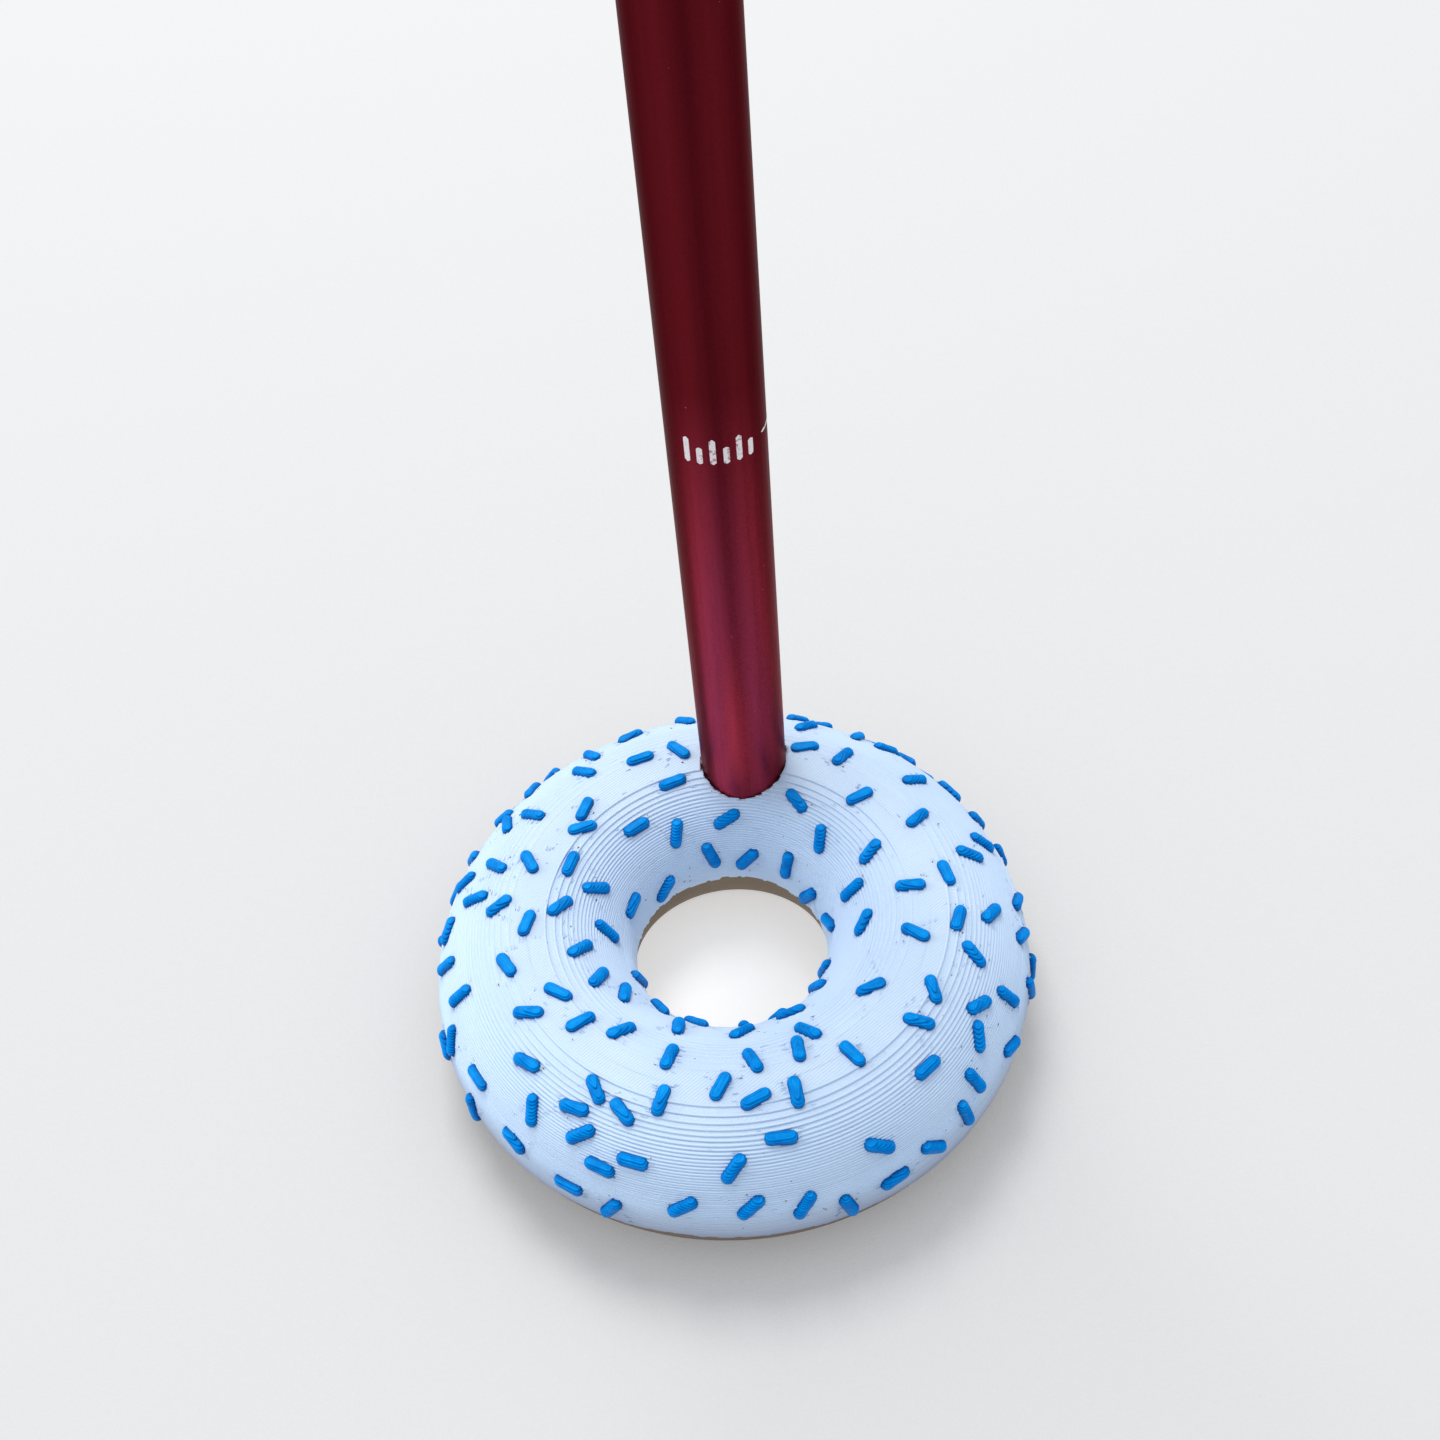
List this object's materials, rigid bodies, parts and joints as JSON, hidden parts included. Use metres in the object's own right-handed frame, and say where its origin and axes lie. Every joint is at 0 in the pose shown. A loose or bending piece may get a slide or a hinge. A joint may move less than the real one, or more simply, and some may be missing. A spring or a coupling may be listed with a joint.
{
  "type": "juggling club",
  "caption": "Juggling club with a printed doughnut ring head, a straight anodised tube standing on the ring's crest, a foam grip and an end knob.",
  "frame": {"origin": "centre of the ring head's flat underside, on the surface that the club stands on", "axes": "+Z along the shaft, from the head towards the end knob; +Y from the middle of the ring towards the shaft; +X completes a right-handed frame"},
  "size_m": [0.096, 0.0942, 0.6134],
  "materials": {
    "dough_plastic": "matte",
    "icing_plastic": "satin",
    "sprinkle_plastic": "satin",
    "infill_plastic": "satin",
    "anodised_tube": "satin",
    "anodised_collar": "satin",
    "mark_ink": "matte",
    "grip_foam": "matte",
    "cloth_tape": "matte",
    "knob_rubber": "satin",
    "plug_wood": "matte",
    "fixing_steel": "satin"
  },
  "bodies": {
    "root": {"dough_base": "dough_plastic", "icing": "icing_plastic", "infill_lattice": "infill_plastic", "sprinkle_01": "sprinkle_plastic", "sprinkle_02": "sprinkle_plastic", "sprinkle_03": "sprinkle_plastic", "sprinkle_04": "sprinkle_plastic", "sprinkle_05": "sprinkle_plastic", "sprinkle_06": "sprinkle_plastic", "sprinkle_07": "sprinkle_plastic", "sprinkle_08": "sprinkle_plastic", "sprinkle_09": "sprinkle_plastic", "sprinkle_10": "sprinkle_plastic", "sprinkle_11": "sprinkle_plastic", "sprinkle_12": "sprinkle_plastic", "sprinkle_13": "sprinkle_plastic", "sprinkle_14": "sprinkle_plastic", "sprinkle_15": "sprinkle_plastic", "sprinkle_16": "sprinkle_plastic", "sprinkle_17": "sprinkle_plastic", "sprinkle_18": "sprinkle_plastic", "sprinkle_19": "sprinkle_plastic", "sprinkle_20": "sprinkle_plastic", "sprinkle_21": "sprinkle_plastic", "sprinkle_22": "sprinkle_plastic", "sprinkle_23": "sprinkle_plastic", "sprinkle_24": "sprinkle_plastic", "sprinkle_25": "sprinkle_plastic", "sprinkle_26": "sprinkle_plastic", "sprinkle_27": "sprinkle_plastic", "sprinkle_28": "sprinkle_plastic", "sprinkle_29": "sprinkle_plastic", "sprinkle_30": "sprinkle_plastic", "sprinkle_31": "sprinkle_plastic", "sprinkle_32": "sprinkle_plastic", "sprinkle_33": "sprinkle_plastic", "sprinkle_34": "sprinkle_plastic", "sprinkle_35": "sprinkle_plastic", "sprinkle_36": "sprinkle_plastic", "sprinkle_37": "sprinkle_plastic", "sprinkle_38": "sprinkle_plastic", "sprinkle_39": "sprinkle_plastic", "sprinkle_40": "sprinkle_plastic", "sprinkle_41": "sprinkle_plastic", "sprinkle_42": "sprinkle_plastic", "sprinkle_43": "sprinkle_plastic", "sprinkle_44": "sprinkle_plastic", "sprinkle_45": "sprinkle_plastic", "shaft": "anodised_tube", "head_plug": "plug_wood", "head_screw": "fixing_steel", "head_washer": "fixing_steel", "grip_collar": "anodised_collar", "grip_sleeve": "grip_foam", "lower_tape_band": "cloth_tape", "upper_tape_band": "cloth_tape", "end_knob": "knob_rubber", "knob_plug": "plug_wood", "knob_washer": "fixing_steel", "knob_screw": "fixing_steel"}
  },
  "joints": []
}
